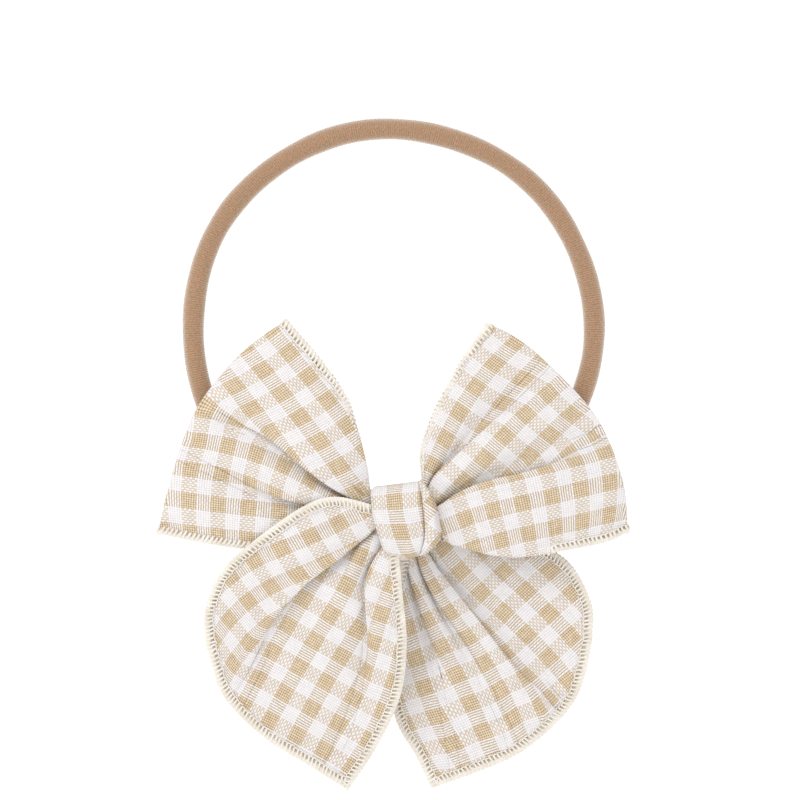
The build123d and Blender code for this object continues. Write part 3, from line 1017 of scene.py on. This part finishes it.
def knot_wrap():
    """The strip's turn around the gathers and the band: flat in front, with a roll down its right side."""
    # Down the front: height, and where the left edge, the crease and the right edge are.
    levels = [
        (-37.0, -4.9, 6.4, 7.4), (-40.2, -5.2, 7.0, 9.8), (-44.7, -4.8, 7.5, 11.0), (-48.9, -3.7, 7.8, 11.7),
        (-51.1, -3.0, 7.6, 11.2), (-54.0, -1.9, 6.8, 9.0), (-56.0, 0.6, 4.6, 6.0),
    ]
    heights, *edges = (values[::-1] for values in zip(*levels))
    columns = np.concatenate([np.linspace(0, crease_share, 36), np.linspace(crease_share, 1.0, 22)[1:]])
    share = columns[None]
    on_flat = np.clip(share / crease_share, 0, 1)
    on_roll = np.clip((share - crease_share) / (1 - crease_share), 0, 1)
    # The strip begins and ends behind the band, where its end laps over its beginning.
    count, lap = 142, 0.045
    psi = np.linspace(math.pi, 3 * math.pi + lap, count)[:, None]
    power = 2 / 4.2  # the turn's section is between an ellipse and a rectangle
    up = np.sign(np.sin(psi)) * np.abs(np.sin(psi)) ** power
    out = np.sign(np.cos(psi)) * np.abs(np.cos(psi)) ** power
    front_share = np.clip(out, 0, 1)
    top = -38.4 + 1.9 * share
    bottom = -55.9 + 1.2 * smoothstep(share, 0.45, 0.8) + 0.6 * (1 - smoothstep(share, 0.0, 0.3))
    middle, half_height = (top + bottom) / 2, (top - bottom) / 2
    left, crease, right = (np.interp(middle + half_height * up, heights, edge) for edge in edges)
    x = np.where(share < crease_share, left + (crease - left) * on_flat, crease + (right - crease) * on_roll)
    # Depth of the outer face: flat front, a crease, then the roll, and edges turned in.
    roll = np.sin(math.pi * on_roll) ** 0.7
    dip = np.exp(-(((share - crease_share) / 0.018) ** 2))
    crown = 0.5 * np.sin(math.pi * on_flat) ** 0.5
    bulge = (crown + 0.9 * roll - 0.9 * dip) * front_share
    inset = 1.3 * (1 - smoothstep(share, 0.0, 0.06)) + 3.2 * smoothstep(share, 0.9, 1.0)
    lapped = lap_lift * smoothstep(psi, 3 * math.pi - 0.12, 3 * math.pi)
    y = knot_middle_depth - (knot_half_depth + bulge - inset) * out + lapped
    z = middle + (half_height - 0.6 * inset * (1 - front_share)) * up
    points = np.stack([x, y, z], -1)
    # A hem turned in at both sides, towards the middle of the turn.
    centre = np.stack(np.broadcast_arrays(x[:, :1], knot_middle_depth, middle[:, :1]), -1)
    hems = []
    for edge, shift in ((points[:, :1], 0.7), (points[:, -1:], -0.9)):
        for k in (1, 2, 3):
            inner = edge + (centre - edge) * 0.07 * k
            inner[..., 0] = edge[..., 0] + shift * k / 3
            hems.append(inner)
    points = np.concatenate([*hems[2::-1], points, *hems[3:]], 1)
    s = lengths(points[:, 30])
    top_row = int(np.argmin(np.abs(psi - 2.5 * math.pi)))
    u = np.broadcast_to((s - s[top_row])[:, None], points.shape[:2])
    t = points[..., 0] - np.interp(points[..., 2], heights, edges[0]) + check
    uv = np.stack([t, u + 4.7], -1)
    # The roll's cloth lies at a slant.
    slant = math.radians(38)
    across, down = points[..., 0] - roll_check[0], points[..., 2] - roll_check[1]
    rolled = np.stack([across * math.cos(slant) - down * math.sin(slant),
                       across * math.sin(slant) + down * math.cos(slant)], -1) + 1.5 * check
    rolled_columns = np.concatenate([[False] * 3, columns > crease_share, [True] * 3])
    uv[:, rolled_columns] = rolled[:, rolled_columns]
    piece = new_mesh("knot_wrap_cloth", points * MM, grid_faces(*points.shape[:2]), uv)
    thicken(piece)
    finish_piece(piece, "bow", cloth_material, ("knot_wrap",))
    tack_down(points[-1])


def tack_down(edge):
    """Hand stitches over the turn's lapped end, from its edge in mm."""
    stitches = []
    for corner in edge[8:34:5]:
        route = []
        for share, rise in ((0, -0.15), (0.12, 0.3), (0.5, 0.5), (0.88, 0.3), (1, -0.15)):
            step = lap_lift * (1 - smoothstep(share, 0.4, 0.7))
            depth = corner[1] - lap_lift + step + cloth_thickness / 2 + rise
            route.append([corner[0] + 0.9 * share - 0.3, depth, corner[2] + 1.5 - 3.0 * share])
        stitches.append(smooth_curve(route, 17))
    piece = new_mesh("tacking_thread", *tubes(np.array(stitches) * MM, 0.25 * MM))
    finish_piece(piece, "bow", thread_material, ("tacking_stitches",))


knot_wrap()


def gathers():
    """The pleated middle of the strip inside the knot."""
    rows, sides, flutes = 30, 72, 9
    half_width, half_height, depth = 2.2, 6.0, -6.0
    x = np.linspace(-4.5, 10.5, rows)[:, None]
    a = np.arange(sides)[None] * 2 * math.pi / sides
    flute = 1 + 0.10 * np.sin(flutes * a + 0.3 * x)
    y = depth + half_width * flute * np.cos(a)
    z = knot[1] + half_height * flute * np.sin(a)
    points = np.stack(np.broadcast_arrays(x, y, z), -1)
    uv = np.stack(np.broadcast_arrays(flutes * a, x), -1)
    piece = new_mesh("gathered_core_cloth", points * MM, capped_tube_faces(rows, sides), uv)
    finish_piece(piece, "bow", cloth_material, ("gathered_core",))


gathers()

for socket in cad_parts["band_join_whipping"].material_slots:
    socket.material = thread_material

# ---------------------------------------------------------------- floor, light and camera
floor_corners = [(-9, -9, -0.128), (9, -9, -0.128), (9, 9, -0.128), (-9, 9, -0.128)]
floor = new_mesh("floor", np.array(floor_corners), [[0, 1, 2, 3]])
floor_look = Graph("floor_white")
floor_shader = floor_look.surface((0.93, 0.93, 0.93, 1), 0.9, 0.0, 0.0)
floor_shader.inputs["Emission Color"].default_value = (1, 1, 1, 1)
floor_shader.inputs["Emission Strength"].default_value = 0.2
floor.data.materials.append(floor_look.material)

world = bpy.data.worlds.new("studio")
bpy.context.scene.world = world
world.use_nodes = True
background = world.node_tree.nodes["Background"]
background.inputs["Color"].default_value = (1.0, 0.975, 0.95, 1)
background.inputs["Strength"].default_value = 1.08


def area_light(name, location, target, size, power):
    light = bpy.data.lights.new(name, "AREA")
    light.size = size
    light.energy = power
    lamp = bpy.data.objects.new(name, light)
    lamp.location = location
    lamp.rotation_euler = (Vector(target) - Vector(location)).to_track_quat("-Z", "Y").to_euler()
    bpy.context.scene.collection.objects.link(lamp)


picture_middle = (0.0018, 0.0, -0.0172)
area_light("key", (-0.45, -0.55, 0.75), picture_middle, 0.35, 3.0)

view_width = 0.1941
camera_distance = 2.0
camera = bpy.data.cameras.new("camera")
camera.sensor_width = 36.0
camera.lens = 36.0 * camera_distance / view_width
camera.clip_start = 0.01
eye = bpy.data.objects.new("camera", camera)
eye.location = (picture_middle[0], -camera_distance, picture_middle[2])
eye.rotation_euler = (math.pi / 2, 0, 0)
bpy.context.scene.collection.objects.link(eye)
bpy.context.scene.camera = eye
bpy.context.scene.view_settings.view_transform = "Standard"
